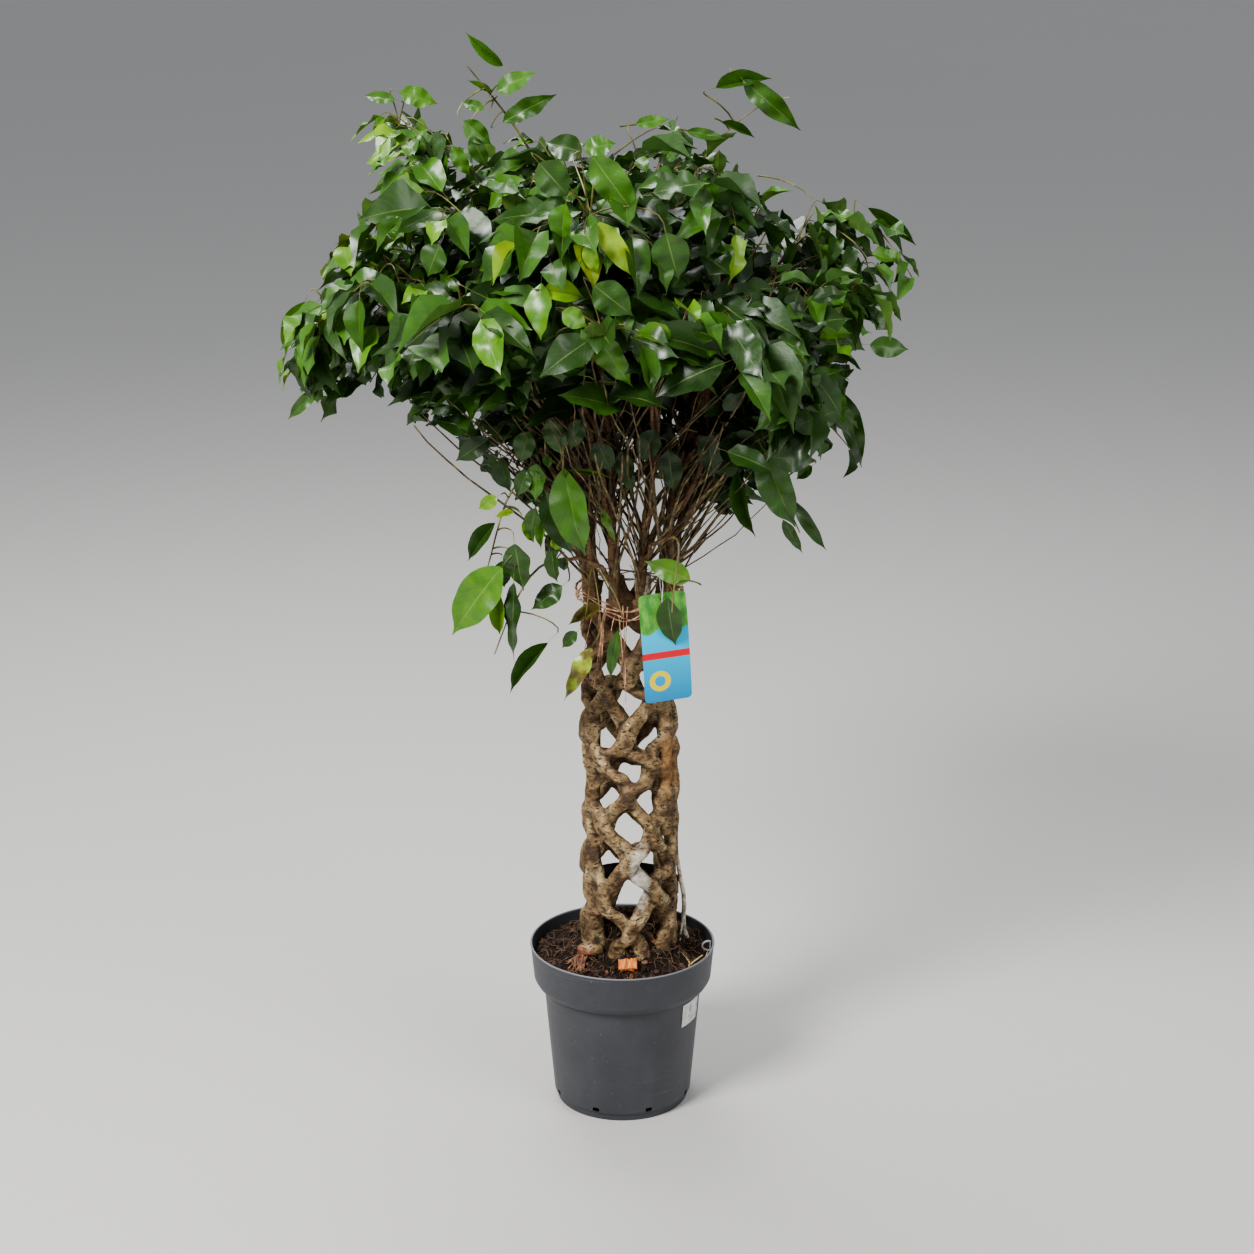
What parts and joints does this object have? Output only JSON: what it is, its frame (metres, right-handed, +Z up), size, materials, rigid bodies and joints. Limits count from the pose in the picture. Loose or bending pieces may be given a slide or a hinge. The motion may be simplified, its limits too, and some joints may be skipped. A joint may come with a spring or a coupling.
{
  "type": "potted ficus",
  "caption": "Weeping fig with a hollow braided lattice trunk and a drooping leafy crown, standing in a plain round nursery pot.",
  "frame": {"origin": "middle of the flat underside of the pot, which stands on the floor", "axes": "+Z up, -Y towards the viewer of the picture (front), +X to the viewer's right"},
  "size_m": [0.7777, 0.744, 1.3756],
  "materials": {
    "pot_plastic": "satin",
    "potting_soil": "matte",
    "bark": "matte",
    "leaf": "satin",
    "black_plastic": "satin",
    "raffia": "matte",
    "printed_card": "satin",
    "pale_wire": "satin",
    "label_paper": "matte",
    "wood_chip": "matte"
  },
  "bodies": {
    "root": {"pot": "pot_plastic", "rim_eyelet": "pot_plastic", "soil": "potting_soil", "stem_01": "bark", "stem_02": "bark", "stem_03": "bark", "stem_04": "bark", "stem_05": "bark", "stem_06": "bark", "stem_07": "bark", "stem_08": "bark", "stem_09": "bark", "stem_10": "bark", "aerial_root": "bark", "trunk_band": "black_plastic", "raffia_tie": "raffia", "hang_tag": "printed_card", "tag_wire": "pale_wire", "pot_sticker": "label_paper", "wood_chip": "wood_chip", "leaf_spray_01": "leaf", "leaf_spray_02": "leaf", "leaf_spray_03": "leaf", "leaf_spray_04": "leaf", "leaf_spray_05": "leaf", "leaf_spray_06": "leaf", "leaf_spray_07": "leaf", "leaf_spray_08": "leaf", "leaf_spray_09": "leaf", "leaf_spray_10": "leaf", "leaf_spray_11": "leaf", "leaf_spray_12": "leaf", "leaf_spray_13": "leaf", "leaf_spray_14": "leaf", "leaf_spray_15": "leaf", "leaf_spray_16": "leaf", "leaf_spray_17": "leaf", "leaf_spray_18": "leaf", "leaf_spray_19": "leaf", "leaf_spray_20": "leaf", "leaf_spray_21": "leaf", "leaf_spray_22": "leaf", "leaf_spray_23": "leaf", "leaf_spray_24": "leaf", "leaf_spray_25": "leaf", "leaf_spray_26": "leaf", "leaf_spray_27": "leaf", "leaf_spray_28": "leaf", "leaf_spray_29": "leaf", "leaf_spray_30": "leaf", "leaf_spray_31": "leaf", "leaf_spray_32": "leaf", "leaf_spray_33": "leaf", "leaf_spray_34": "leaf", "leaf_spray_35": "leaf", "leaf_spray_36": "leaf", "leaf_spray_37": "leaf", "leaf_spray_38": "leaf", "leaf_spray_39": "leaf"}
  },
  "joints": []
}
